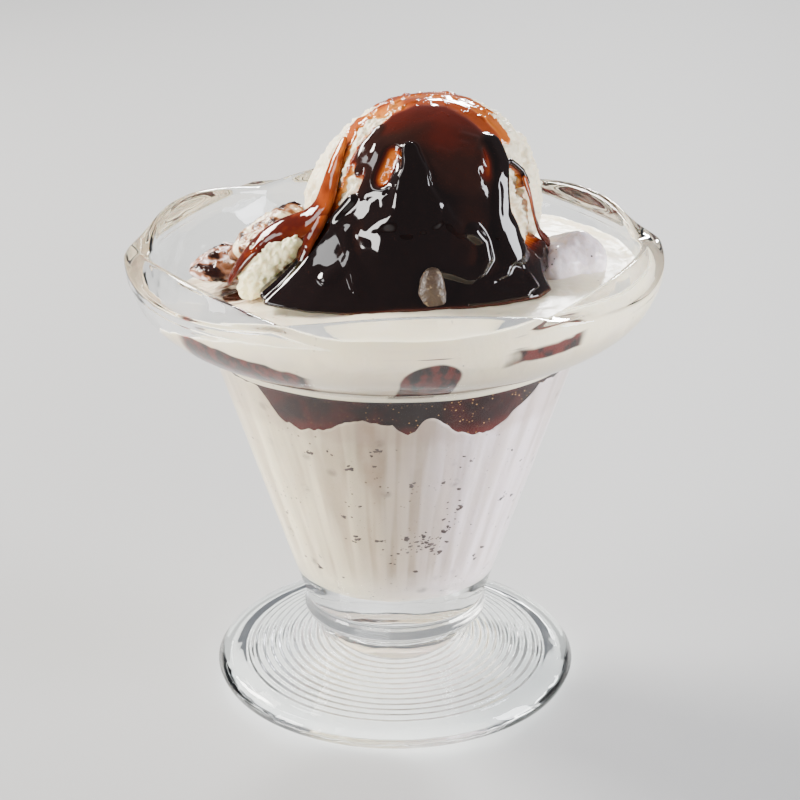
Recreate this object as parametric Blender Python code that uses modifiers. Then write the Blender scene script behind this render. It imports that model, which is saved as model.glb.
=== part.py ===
"""Ice cream sundae in a footed glass dish, scalloped at the rim.

Ice cream fills the cone of the dish, a layer of hot fudge lies over it, and more ice cream
fills the flared cup up to an uneven top.  A scoop stands on that, under a coat of hot fudge
that runs down its front into a pool, with folds, chunks and a lump of ice cream round it.

Lengths are in millimetres and become metres as each mesh is made.  +Z is up, the dish stands
on z = 0 with its foot centred on the origin, and the front of the sundae faces -Y.
"""
import math

import bmesh
import bpy
import numpy as np

MM = 0.001                   # metres in a millimetre
GAP = 0.3                    # between pieces that touch
WALL_GAP = 0.3               # between the fillings and the glass, sideways
WALL_LIFT = 0.2              # and upwards

# The dish: foot, collar, straight cone, flared cup, rim.
FOOT_RADIUS = 33.4
STAND_RADIUS = 32.0          # outer edge of the flat ring that the dish stands on
STAND_WIDTH = 2.2
FOOT_HOLLOW = 2.6            # how far the underside is dished
NECK_RADIUS = 12.8
COLLAR_RADIUS = 16.9
COLLAR_LOW = 12.7
COLLAR_HIGH = 15.4
CONE_AT_ZERO = 11.2          # the cone's outside radius, carried down to z = 0
CONE_SLOPE = 0.330           # radius gained for each millimetre of height
CONE_WALL = 3.0
CONE_TOP = 67.0
FLOOR_HEIGHT = 20.4
FLOOR_EDGE = 27.0            # height where the rounded floor meets the cone
RIM_RADIUS = 47.6
LIP_RADIUS = 43.1
LIP_HEIGHT = 82.8            # at the corners between two scallops
DISH_STEPS = 54

# The scallops: six shallow arches, each with a slanting facet cut into the outside.
SCALLOPS = 6
SCALLOP_TURN = math.radians(5.3)
ARCH_RISE = 3.0
FACET_DROP = 1.7
FACET_PULL = 0.4
ARCH_START = 79.2            # height where the arches begin

# The fillings.
FILL_STEPS = 40
LAYER_LOW = 60.4             # under side of the fudge layer at the wall
LAYER_HIGH = 66.6
TOP_LEVEL = 79.9             # ice cream round the foot of the scoop

# The scoop and its coat.
SCOOP_CENTRE = np.array((6.0, 0.0, 91.4))
SCOOP_RADIUS = 19.3
SCOOP_STEPS = 32
SCOOP_RINGS = 15
COAT_THICKNESS = 0.85
COAT_GAP = 0.6               # under the coat
COAT_STEPS = 40
SHOULDER = math.radians(84)  # polar angle where the coat leaves the scoop and slopes out
POOL_EDGE = 0.9              # thickness of the pool's edge


def smooth(low, high, value):
    """0 below low, 1 above high, and an even S-curve between them."""
    t = np.clip((value - low) / (high - low), 0.0, 1.0)
    return t * t * (3.0 - 2.0 * t)


def bump(distance, width):
    """A round hill, 1 at distance 0 and close to 0 beyond the width."""
    return np.exp(-(distance / (0.5 * width)) ** 2)


def turn_between(angle, other):
    """The angle from other to angle, between -pi and pi."""
    return (angle - other + math.pi) % (2.0 * math.pi) - math.pi


# ------------------------------------------------------------------ the dish's profile

def cone_radius(z):
    """Outside radius of the straight cone at a height."""
    return CONE_AT_ZERO + CONE_SLOPE * z


INNER_FLOOR = [(0.0, FLOOR_HEIGHT), (9.0, 20.7), (13.4, 22.0), (15.7, 24.3)]
INNER_WALL = [
    (cone_radius(FLOOR_EDGE) - CONE_WALL, FLOOR_EDGE),
    (cone_radius(CONE_TOP - 1.0) - CONE_WALL, CONE_TOP - 1.0),
    (31.3, 69.6),
    (33.3, 71.6),
    (36.4, 72.9),
    (39.0, 74.5),
    (41.1, 77.1),
    (42.3, 80.3),
    (LIP_RADIUS - 0.4, LIP_HEIGHT - 0.5),
]
SHELF_TURNS = [height for _, height in INNER_WALL[2:5]]
RIM = [
    (LIP_RADIUS, LIP_HEIGHT),
    (LIP_RADIUS + 0.9, LIP_HEIGHT + 0.1),
    (RIM_RADIUS - 0.3, 83.2),
    (RIM_RADIUS, 82.4),
]
OUTER_WALL = [
    (46.8, 78.3),
    (45.7, 75.9),
    (44.1, 73.8),
    (42.0, 72.0),
    (39.5, 70.6),
    (36.6, 69.3),
    (34.7, 68.6),
    (cone_radius(CONE_TOP), CONE_TOP),
]
FOOT = [
    (cone_radius(COLLAR_HIGH + 0.3), COLLAR_HIGH + 0.3),
    (COLLAR_RADIUS, COLLAR_HIGH),
    (COLLAR_RADIUS, COLLAR_LOW),
    (NECK_RADIUS, 10.9),
    (NECK_RADIUS + 1.4, 9.6),
    (22.0, 7.1),
    (28.0, 5.3),
    (32.5, 3.9),
    (FOOT_RADIUS, 2.2),
    (STAND_RADIUS, 0.0),
    (STAND_RADIUS - STAND_WIDTH, 0.0),
    (27.5, 1.3),
    (0.0, FOOT_HOLLOW),
]


def inner_radius(z):
    """Inside radius of the dish above its rounded floor."""
    radii, heights = zip(*INNER_WALL)
    return np.interp(z, heights, radii)


def inner_floor(r):
    """Height of the dish's rounded floor."""
    radii, heights = zip(*(INNER_FLOOR + INNER_WALL[:1]))
    return np.interp(r, radii, heights)


def scallop(points):
    """Raise the lip into an arch over each scallop and press the facet outside it down.

    Across a scallop the rise follows a half sine wave, so the arches meet in sharp corners.
    It fades in above ARCH_START and turns into a drop from the lip to the outer edge.
    """
    x, y, z = points.T
    r = np.hypot(x, y)
    azimuth = np.arctan2(y, x) - SCALLOP_TURN
    across = (azimuth * SCALLOPS / (2.0 * math.pi)) % 1.0
    wave = np.sin(math.pi * across) * smooth(ARCH_START, LIP_HEIGHT - 0.6, z)
    lift = np.interp(r, (LIP_RADIUS + 0.9, RIM_RADIUS - 0.3), (ARCH_RISE, -FACET_DROP))
    pull = FACET_PULL * wave * smooth(LIP_RADIUS + 1.0, RIM_RADIUS, r)
    scale = (r - pull) / np.maximum(r, 1e-9)
    return np.column_stack((x * scale, y * scale, z + lift * wave))


# ------------------------------------------------------------------ the fillings' surfaces

# Lobes along the lower edge of the fudge layer: azimuth in degrees, depth, width in degrees.
LAYER_LOBES = ((214, 1.2, 26), (236, 2.2, 30), (277, 2.3, 16), (305, 2.3, 34),
               (20, 1.6, 40), (75, 2.0, 30), (128, 1.4, 34), (165, 1.8, 24))

# The wall level of the topmost ice cream by azimuth in degrees, and lumps on it.
WALL_AZIMUTHS = (-45, 0, 45, 90, 135, 180, 225, 270, 315)
WALL_LEVELS = (80.8, 80.2, 78.6, 76.4, 73.9, 73.8, 78.2, 80.7, 80.8)
TOP_LUMPS = ((-20, 24, -1.0, 16), (22, 22, 0.9, 14), (-3, 34, -0.7, 14), (34, 8, 0.5, 12))


def layer_bottom(x, y):
    """Under side of the fudge layer: level inside, in hanging lobes at the wall."""
    azimuth = np.degrees(np.arctan2(y, x))
    drop = 0.0
    for centre, depth, width in LAYER_LOBES:
        away = np.degrees(turn_between(np.radians(azimuth), math.radians(centre)))
        drop = drop + depth * bump(away, width)
    near_wall = smooth(12.0, 27.0, np.hypot(x, y))
    return LAYER_LOW + 0.3 * np.cos(0.21 * x + 0.4) - drop * near_wall


def layer_top(x, y):
    """Upper side of the fudge layer, gently uneven."""
    return LAYER_HIGH + 0.5 * np.sin(0.19 * x + 1.0) * np.cos(0.16 * y) - 0.4 * np.sin(0.23 * y)


def wall_level(azimuth):
    """Height of the topmost ice cream where it meets the glass, round the dish."""
    return np.interp(np.degrees(azimuth), WALL_AZIMUTHS, WALL_LEVELS, period=360)


def cream_top(x, y):
    """Top of the ice cream: level round the scoop, falling or rising to the wall's level."""
    r = np.hypot(x, y)
    level = wall_level(np.arctan2(y, x))
    z = TOP_LEVEL + (level - TOP_LEVEL) * smooth(10.0, 36.0, r)
    for lump_x, lump_y, height, width in TOP_LUMPS:
        z = z + height * bump(np.hypot(x - lump_x, y - lump_y), width)
    return z


# ------------------------------------------------------------------ meshes

def coordinates(mesh):
    """The mesh's vertices in millimetres."""
    points = np.empty(len(mesh.vertices) * 3)
    mesh.vertices.foreach_get("co", points)
    return points.reshape(-1, 3) / MM


def reshape(mesh, shape):
    """Move every vertex to where the function shape puts it."""
    points = shape(coordinates(mesh)) * MM
    mesh.vertices.foreach_set("co", points.astype(np.float32).ravel())
    mesh.update()


def weld(mesh):
    """Join vertices that lie on each other."""
    bm = bmesh.new()
    bm.from_mesh(mesh)
    bmesh.ops.remove_doubles(bm, verts=bm.verts, dist=1e-4 * MM)
    bm.to_mesh(mesh)
    bm.free()


def turned(name, profile, steps, first_azimuth=0.0):
    """Mesh turned from a profile of (radius, height) about Z with a Screw modifier.

    The profile starts on the axis inside or on top and runs down the outside.
    """
    curve = bpy.data.meshes.new(name + "_profile")
    cos, sin = math.cos(first_azimuth), math.sin(first_azimuth)
    points = [(r * cos * MM, r * sin * MM, z * MM) for r, z in profile]
    curve.from_pydata(points, [(i, i + 1) for i in range(len(points) - 1)], [])
    source = bpy.data.objects.new(name + "_profile", curve)
    bpy.context.scene.collection.objects.link(source)
    screw = source.modifiers.new("turn", "SCREW")
    screw.axis = "Z"
    screw.angle = 2.0 * math.pi
    screw.steps = steps
    screw.render_steps = steps
    screw.use_merge_vertices = True
    screw.merge_threshold = 1e-4 * MM
    mesh = bpy.data.meshes.new_from_object(source.evaluated_get(bpy.context.evaluated_depsgraph_get()))
    bpy.data.objects.remove(source)
    weld(mesh)
    mesh.name = name
    return mesh


def material(name, color, roughness, metallic=0.0, transmission=0.0):
    """A Principled material."""
    mat = bpy.data.materials.new(name)
    mat.use_nodes = True
    shader = mat.node_tree.nodes["Principled BSDF"]
    shader.inputs["Base Color"].default_value = (*color, 1.0)
    shader.inputs["Roughness"].default_value = roughness
    shader.inputs["Metallic"].default_value = metallic
    shader.inputs["Transmission Weight"].default_value = transmission
    mat.diffuse_color = (*color, 1.0)
    return mat


def piece(name, mesh, mat, collection):
    """A named object with its material, shaded smooth up to sharp edges."""
    obj = bpy.data.objects.new(name, mesh)
    mesh.materials.clear()
    mesh.materials.append(mat)
    mesh.shade_smooth()
    mesh.set_sharp_from_angle(angle=math.radians(35))
    collection.objects.link(obj)
    return obj


# ------------------------------------------------------------------ the pieces

def dish_mesh():
    """The glass dish: one turned wall from the inner floor over the rim to the underside."""
    profile = INNER_FLOOR + INNER_WALL + RIM + OUTER_WALL + FOOT
    mesh = turned("glass_dish", profile, DISH_STEPS, SCALLOP_TURN)
    reshape(mesh, scallop)
    return mesh


def straight(level, low, high):
    """Height at a share of the way from low to high."""
    return low + (high - low) * level


def over_shelf(level, low, high):
    """Height at a share of the way from low to high, with a point at each turn of the shelf."""
    z = low
    for (start, end), height in zip(((0.0, 0.2), (0.2, 0.35), (0.35, 0.5)), SHELF_TURNS):
        z = z + (height - z) * np.clip((level - start) / (end - start), 0.0, 1.0)
    return z + (high - z) * np.clip((level - 0.5) / 0.5, 0.0, 1.0)


def filling_mesh(name, bottom, top, rings_below, rings_above, side_levels, rise=straight):
    """A filling between two surfaces, out to the inside of the dish.

    A unit drum is turned first: its radius is the share of the way out to the wall, and its
    height is the share of the way from the bottom surface to the top one.
    """
    drum = [(share, 1.0) for share in rings_above]
    drum += [(1.0, level) for level in side_levels]
    drum += [(share, 0.0) for share in reversed(rings_below)]
    mesh = turned(name, drum, FILL_STEPS)

    def shape(points):
        share = np.hypot(points[:, 0], points[:, 1])
        level = points[:, 2]
        azimuth = np.arctan2(points[:, 1], points[:, 0])
        cos, sin = np.cos(azimuth), np.sin(azimuth)
        wall = np.full(len(points), 30.0)
        for _ in range(6):
            low, high = bottom(wall * cos, wall * sin), top(wall * cos, wall * sin)
            wall = inner_radius(rise(level, low, high) - WALL_LIFT) - WALL_GAP
        x, y = share * wall * cos, share * wall * sin
        return np.column_stack((x, y, rise(level, bottom(x, y), top(x, y))))

    reshape(mesh, shape)
    return mesh


def scoop_surface(azimuth, polar):
    """Radius of the scoop by direction: a ball with slow swells, fuller at the lower left."""
    swell = 0.45 * np.sin(3.0 * azimuth + 0.6) * np.sin(polar) ** 2
    swell = swell + 0.35 * np.cos(2.0 * azimuth - 1.1) * np.sin(2.0 * polar)
    left = bump(turn_between(azimuth, math.radians(172)), math.radians(80))
    low = bump(polar - math.radians(96), math.radians(60))
    back = bump(turn_between(azimuth, math.radians(75)), math.radians(120))
    crown = bump(polar, math.radians(110))
    return (SCOOP_RADIUS + 0.6 * swell + 2.6 * left * low + 0.6 * back * np.sin(polar)
            - 0.9 * crown)


def scoop_mesh():
    """The scoop: a UV sphere pushed out to the scoop's surface."""
    bm = bmesh.new()
    bmesh.ops.create_uvsphere(bm, u_segments=SCOOP_STEPS, v_segments=SCOOP_RINGS, radius=MM)
    mesh = bpy.data.meshes.new("ice_cream_scoop")
    bm.to_mesh(mesh)
    bm.free()

    def shape(points):
        azimuth = np.arctan2(points[:, 1], points[:, 0])
        polar = np.arccos(np.clip(points[:, 2], -1.0, 1.0))
        radius = scoop_surface(azimuth, polar)
        return SCOOP_CENTRE + points * radius[:, None]

    reshape(mesh, shape)
    return mesh


# Where the coat ends, by azimuth in degrees round the scoop: a polar angle in degrees on the
# scoop, which is FOOT_ANGLE where it reaches the ice cream below, and then the pool's reach
# from there in millimetres.
FOOT_ANGLE = 126
COAT_AZIMUTHS = (4, 25, 50, 75, 95, 120, 150, 172, 186, 196, 206, 218, 231, 245, 259,
                 277, 296, 313, 326, 338, 350)
COAT_ANGLES = (54, 40, 44, 58, 48, 40, 52, 70, 88, 106, 122, 126, 126, 126, 126,
               126, 126, 126, 126, 108, 82)
POOL_REACHES = (0, 0, 0, 0, 0, 0, 0, 0, 0, 2, 16, 20, 17.2, 13.8, 11.2,
                9.8, 10.8, 11.8, 10, 4, 0)

# Thick runs down the coat: azimuth in degrees, height in millimetres, width in degrees.
COAT_RUNS = ((232, 0.9, 20), (262, 1.3, 24), (289, 0.7, 16), (312, 1.1, 20))


def coat_mesh():
    """Hot fudge over the scoop, sloping outwards at the front into a pool.

    A unit lens is turned first.  Its radius is the share of the way from the scoop's top to
    the coat's edge, and its height tells the upper side from the lower one.
    """
    dome_share = 0.56
    shares = (0.0, 0.1, 0.22, 0.34, 0.46, dome_share, 0.66, 0.76, 0.86, 0.94, 1.0)
    lens = [(share, 1.0) for share in shares] + [(share, 0.0) for share in reversed(shares)]
    mesh = turned("hot_fudge", lens, COAT_STEPS)

    def shape(points):
        share = np.hypot(points[:, 0], points[:, 1])
        upper = points[:, 2] > 0.5
        azimuth = np.arctan2(points[:, 1], points[:, 0])
        degrees = np.degrees(azimuth)
        end = np.radians(np.interp(degrees, COAT_AZIMUTHS, COAT_ANGLES, period=360))
        reach = np.interp(degrees, COAT_AZIMUTHS, POOL_REACHES, period=360)
        shoulder = np.minimum(SHOULDER, 0.93 * end)
        on_dome = share <= dome_share
        past = np.clip((share - dome_share) / (1.0 - dome_share), 0.0, 1.0)

        # On the dome both sides follow the scoop.
        polar = shoulder * np.minimum(share / dome_share, 1.0)
        swell = 0.2 * np.sin(5.0 * azimuth + 0.8) * np.sin(polar)
        for centre, height, width in COAT_RUNS:
            away = np.degrees(turn_between(azimuth, math.radians(centre)))
            swell = swell + height * bump(away, width) * smooth(0.5, 1.3, polar)
        lift = np.where(upper, GAP + COAT_THICKNESS + swell, COAT_GAP)
        radius = scoop_surface(azimuth, polar) + lift
        out, up = radius * np.sin(polar), radius * np.cos(polar)

        # Past the shoulder the lower side follows the scoop in to its foot, then the pool's
        # bed outwards, by length along the way.
        length = SCOOP_RADIUS * (end - shoulder) + reach
        run = past * length
        low_polar = np.minimum(shoulder + run / SCOOP_RADIUS, end)
        low_radius = scoop_surface(azimuth, low_polar) + COAT_GAP
        pool_run = np.maximum(run - SCOOP_RADIUS * (end - shoulder), 0.0)
        low_out = low_radius * np.sin(low_polar) + pool_run
        low_up = low_radius * np.cos(low_polar)

        # The upper side runs there in a curve, down at first and then outwards.
        end_radius = scoop_surface(azimuth, end) + GAP
        end_out = end_radius * np.sin(end) + reach
        end_x = SCOOP_CENTRE[0] + end_out * np.cos(azimuth)
        end_y = SCOOP_CENTRE[1] + end_out * np.sin(azimuth)
        end_bed = cream_top(end_x, end_y) + GAP - SCOOP_CENTRE[2]
        end_up = np.maximum(end_radius * np.cos(end), end_bed)
        hang = 1.0 - past
        fall = 0.55 * (up - end_up)
        slide = 0.45 * np.maximum(end_out - out, 0.0)
        high_out = (hang ** 3 * out + 3 * hang ** 2 * past * out
                    + 3 * hang * past ** 2 * (end_out - slide) + past ** 3 * end_out)
        high_up = (hang ** 3 * up + 3 * hang ** 2 * past * (up - fall)
                   + 3 * hang * past ** 2 * (end_up + POOL_EDGE) + past ** 3 * end_up)
        high_up = high_up + POOL_EDGE * past
        beyond = ~on_dome
        out = np.where(beyond, np.where(upper, high_out, low_out), out)
        up = np.where(beyond, np.where(upper, high_up, low_up), up)

        x = SCOOP_CENTRE[0] + out * np.cos(azimuth)
        y = SCOOP_CENTRE[1] + out * np.sin(azimuth)
        z = SCOOP_CENTRE[2] + up
        # The pool lies on the ice cream under it.
        bed = cream_top(x, y) + COAT_GAP
        z = np.maximum(z, np.where(upper, bed + POOL_EDGE, bed))
        return np.column_stack((x, y, z))

    reshape(mesh, shape)
    return mesh


def lump_mesh(name, centre, radii, turn=0.0, tilt=0.0, swell=0.12, steps=12, rings=8, phase=0.0):
    """A lump of ice cream: an ellipsoid with slow swells, tilted about Y and turned about Z."""
    bm = bmesh.new()
    bmesh.ops.create_uvsphere(bm, u_segments=steps, v_segments=rings, radius=MM)
    mesh = bpy.data.meshes.new(name)
    bm.to_mesh(mesh)
    bm.free()

    def shape(points):
        x, y, z = points.T
        wave = np.sin(3.1 * x + phase) * np.cos(2.7 * y - phase) + 0.6 * np.sin(4.3 * z + 2.0 * phase)
        grown = points * (1.0 + swell * wave)[:, None] * np.array(radii)
        ct, st = math.cos(tilt), math.sin(tilt)
        tilted = np.column_stack((ct * grown[:, 0] + st * grown[:, 2], grown[:, 1],
                                  ct * grown[:, 2] - st * grown[:, 0]))
        cz, sz = math.cos(turn), math.sin(turn)
        placed = np.column_stack((cz * tilted[:, 0] - sz * tilted[:, 1],
                                  sz * tilted[:, 0] + cz * tilted[:, 1], tilted[:, 2]))
        return placed + np.array(centre)

    reshape(mesh, shape)
    return mesh


def cutter(name, mesh, collection, grow=0.0, lift=0.0):
    """A guide object that cuts: a copy of a mesh, grown along its normals or lifted."""
    copy = mesh.copy()
    copy.materials.clear()
    normals = np.empty(len(copy.vertices) * 3)
    copy.vertices.foreach_get("normal", normals)
    normals = normals.reshape(-1, 3)
    reshape(copy, lambda points: points + normals * grow + np.array((0.0, 0.0, lift)))
    obj = bpy.data.objects.new("cut_" + name, copy)
    obj.hide_render = True
    obj.display_type = "WIRE"
    collection.objects.link(obj)
    return obj


def cut(obj, cutters):
    """Take the cutters out of a piece."""
    for guide in cutters:
        boolean = obj.modifiers.new(guide.name, "BOOLEAN")
        boolean.operation = "DIFFERENCE"
        boolean.solver = "EXACT"
        boolean.object = guide


def main():
    for obj in list(bpy.data.objects):
        bpy.data.objects.remove(obj)
    parts = bpy.data.collections.new("ice_cream_sundae")
    guides = bpy.data.collections.new("cutters")
    bpy.context.scene.collection.children.link(parts)
    bpy.context.scene.collection.children.link(guides)

    glass = material("clear_glass", (0.93, 0.96, 0.96), 0.02, transmission=1.0)
    vanilla = material("vanilla_ice_cream", (0.86, 0.80, 0.72), 0.45)
    fudge = material("dark_fudge", (0.05, 0.018, 0.010), 0.12)

    piece("glass_dish", dish_mesh(), glass, parts)

    rings = (0.0, 0.45, 0.8, 1.0)
    below = (0.0, 0.55, 0.84, 1.0)
    lower = filling_mesh("ice_cream_lower", lambda x, y: inner_floor(np.hypot(x, y)) + GAP + 0.1,
                         lambda x, y: layer_bottom(x, y) - GAP, below, rings, (0.6, 0.25))
    piece("ice_cream_lower", lower, vanilla, parts)
    layer = filling_mesh("fudge_layer", layer_bottom, layer_top, rings, rings, (0.5,))
    piece("fudge_layer", layer, fudge, parts)
    upper = filling_mesh("ice_cream_upper", lambda x, y: layer_top(x, y) + GAP, cream_top,
                         rings, (0.0, 0.3, 0.5, 0.66, 0.8, 0.92, 1.0),
                         (0.84, 0.67, 0.5, 0.35, 0.2), rise=over_shelf)
    piece("ice_cream_upper", upper, vanilla, parts)
    bed = cutter("bed", upper, guides, lift=GAP)

    scoop = scoop_mesh()
    scoop_piece = piece("ice_cream_scoop", scoop, vanilla, parts)
    cut(scoop_piece, [bed])
    round_scoop = cutter("round_scoop", scoop, guides, grow=GAP)

    chunk = lump_mesh("ice_cream_chunk", (-21.2, -11.0, 83.2), (7.2, 3.2, 4.0),
                      turn=math.radians(-12), tilt=math.radians(-46), phase=0.7)
    chunk_piece = piece("ice_cream_chunk", chunk, vanilla, parts)
    cut(chunk_piece, [bed, round_scoop])
    nub = lump_mesh("ice_cream_nub", (6.2, -23.9, 82.6), (2.4, 2.0, 4.6), swell=0.06, phase=1.9)
    nub_piece = piece("ice_cream_nub", nub, vanilla, parts)
    cut(nub_piece, [bed])
    side = lump_mesh("ice_cream_lump", (31.0, -2.5, 81.2), (6.0, 5.6, 6.2), swell=0.07, phase=0.2)
    side_piece = piece("ice_cream_lump", side, vanilla, parts)
    cut(side_piece, [bed])
    fold = lump_mesh("ice_cream_fold", (-20.8, 1.5, 83.6), (8.0, 4.6, 3.2),
                     turn=math.radians(6), tilt=math.radians(-34), phase=2.6)
    fold_piece = piece("ice_cream_fold", fold, vanilla, parts)
    round_chunk = cutter("round_chunk", chunk, guides, grow=GAP)
    cut(fold_piece, [bed, round_scoop, round_chunk])
    swirl = lump_mesh("ice_cream_swirl", (-29.6, 1.6, 77.6), (6.6, 8.2, 2.6),
                      turn=math.radians(8), swell=0.10, phase=1.2)
    swirl_piece = piece("ice_cream_swirl", swirl, vanilla, parts)
    round_fold = cutter("round_fold", fold, guides, grow=GAP)
    cut(swirl_piece, [bed, round_chunk, round_fold])

    coat_piece = piece("hot_fudge", coat_mesh(), fudge, parts)
    round_nub = cutter("round_nub", nub, guides, grow=GAP)
    round_side = cutter("round_lump", side, guides, grow=GAP)
    cut(coat_piece, [round_chunk, round_nub, round_side, round_fold])


main()
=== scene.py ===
"""The looks of an ice cream sundae with hot fudge in a footed, scalloped glass dish.

The dish is pressed clear glass with an optic cone and fine rings under its foot.  Everything in
it is food: ice cream in the cone, a layer of fudge, ice cream in the flared cup, a scoop with a
coat of hot fudge that runs down into a pool, and folds, a chunk and a lump of ice cream.

Shapes are worked out in millimetres and become metres as each mesh is made.  The foot stands on
z = 0 centred on the origin, and the front of the sundae faces -Y.  Nearly every piece is a skin:
a grid of points whose rows run from one pole to the other and whose columns run round it.
"""
import math

import bpy
import numpy as np
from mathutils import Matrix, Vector


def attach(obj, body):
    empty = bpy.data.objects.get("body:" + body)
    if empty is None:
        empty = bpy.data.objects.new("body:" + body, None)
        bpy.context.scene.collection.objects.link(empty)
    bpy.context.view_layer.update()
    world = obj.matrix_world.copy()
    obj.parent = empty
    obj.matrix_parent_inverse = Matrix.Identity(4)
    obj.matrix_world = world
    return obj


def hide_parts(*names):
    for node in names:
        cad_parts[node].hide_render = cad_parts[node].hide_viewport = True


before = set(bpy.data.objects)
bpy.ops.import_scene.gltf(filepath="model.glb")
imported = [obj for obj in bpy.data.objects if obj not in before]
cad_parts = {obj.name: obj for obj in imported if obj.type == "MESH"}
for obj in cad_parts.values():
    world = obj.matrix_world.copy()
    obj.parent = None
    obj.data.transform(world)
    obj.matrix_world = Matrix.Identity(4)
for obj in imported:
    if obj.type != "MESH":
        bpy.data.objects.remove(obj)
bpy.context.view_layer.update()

MM = 0.001

# ------------------------------------------------------------------ small formulas


def smooth(low, high, value):
    """0 below low, 1 above high, and an even S-curve between them."""
    t = np.clip((value - low) / (high - low), 0.0, 1.0)
    return t * t * (3.0 - 2.0 * t)


def bump(distance, width):
    """A round hill, 1 at distance 0 and close to 0 beyond the width."""
    return np.exp(-(distance / (0.5 * width)) ** 2)


def turn_between(angle, other):
    """The angle from other to angle in degrees, between -180 and 180."""
    return (angle - other + 180.0) % 360.0 - 180.0


def swirls(points, size, seed):
    """Gradient noise, about -1 to 1, with features of a size in millimetres.

    Each corner of a cubic lattice holds a random direction.  A point takes the dot products of
    its offsets to the eight corners round it with their directions, mixed by a quintic S-curve.
    """
    table = np.random.default_rng(seed).normal(size=(256, 3))
    table /= np.linalg.norm(table, axis=1)[:, None]
    order = np.random.default_rng(seed + 1).permutation(256)
    place = points / size
    cell = np.floor(place).astype(np.int64)
    inside = place - cell
    ease = inside ** 3 * (inside * (inside * 6.0 - 15.0) + 10.0)
    total = np.zeros(points.shape[:-1])
    for corner in range(8):
        step = np.array((corner & 1, corner >> 1 & 1, corner >> 2 & 1))
        key = order[(cell[..., 0] + step[0]) & 255]
        key = order[(key + cell[..., 1] + step[1]) & 255]
        key = order[(key + cell[..., 2] + step[2]) & 255]
        dot = np.sum(table[key] * (inside - step), axis=-1)
        weight = np.prod(np.where(step, ease, 1.0 - ease), axis=-1)
        total += weight * dot
    return total * 1.6


def rough(points, size, seed, octaves=3, gain=0.5):
    """Swirls of a size with finer and fainter ones added, each half the size of the last."""
    total, share = 0.0, 1.0
    for octave in range(octaves):
        total = total + share * swirls(points, size / 2.0 ** octave, seed + 7 * octave)
        share *= gain
    return total


def softened(corners, step, soft):
    """An outline through corner points, walked in even steps and rounded over a short length.

    The walk is averaged with a raised-cosine window as long as soft, so straight stretches stay
    straight and every corner turns in a smooth curve.  The ends stay where they are.
    """
    corners = np.array(corners, dtype=float)
    lengths = np.concatenate(([0.0], np.cumsum(np.hypot(*np.diff(corners, axis=0).T))))
    count = max(int(round(lengths[-1] / step)), 2)
    walk = np.linspace(0.0, lengths[-1], count + 1)
    reach = max(int(round(0.5 * soft / (walk[1] - walk[0]))), 1)
    window = 0.5 + 0.5 * np.cos(np.linspace(-math.pi, math.pi, 2 * reach + 3)[1:-1])
    window /= window.sum()
    column = []
    for axis in range(2):
        line = np.interp(walk, lengths, corners[:, axis])
        start, end = 2.0 * line[0] - line[reach:0:-1], 2.0 * line[-1] - line[-2:-reach - 2:-1]
        column.append(np.convolve(np.concatenate((start, line, end)), window, "valid"))
    return np.column_stack(column)


# ------------------------------------------------------------------ making meshes


def skin(name, grid, material, replaced=(), thickness=None):
    """A closed mesh from a grid of points in millimetres, shaped (rows, columns, 3).

    The first and the last row are poles and become one vertex each.  Rows run down the outside
    and columns run anticlockwise seen from above, so that faces point outwards.
    """
    rows, columns = grid.shape[:2]
    points = np.concatenate((grid[0].mean(0)[None], grid[1:-1].reshape(-1, 3), grid[-1].mean(0)[None]))
    last = len(points) - 1
    across = np.arange(columns)
    beside = (across + 1) % columns
    low = 1 + columns * np.arange(rows - 3)[:, None]
    quads = np.stack((low + across, low + columns + across, low + columns + beside, low + beside), -1)
    top = np.stack((np.zeros(columns, int), 1 + across, 1 + beside), -1)
    first = 1 + columns * (rows - 3)
    foot = np.stack((first + across, np.full(columns, last), first + beside), -1)
    mesh = bpy.data.meshes.new(name)
    faces = quads.reshape(-1, 4).tolist() + top.tolist() + foot.tolist()
    mesh.from_pydata((points * MM).tolist(), [], faces)
    if thickness is not None:
        layer = mesh.attributes.new("thickness", "FLOAT", "POINT")
        values = np.concatenate(([thickness[0].mean()], thickness[1:-1].ravel(), [thickness[-1].mean()]))
        layer.data.foreach_set("value", values.astype(np.float32))
    return finished(name, mesh, material, replaced)


def finished(name, mesh, material, replaced=()):
    """The mesh as a piece of the sundae: smooth, in its material, riding on the one body."""
    mesh.validate()
    mesh.shade_smooth()
    mesh.materials.append(material)
    piece = bpy.data.objects.new(name, mesh)
    bpy.context.scene.collection.objects.link(piece)
    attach(piece, "root")
    for node in replaced:
        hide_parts(node)
    return piece


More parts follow.
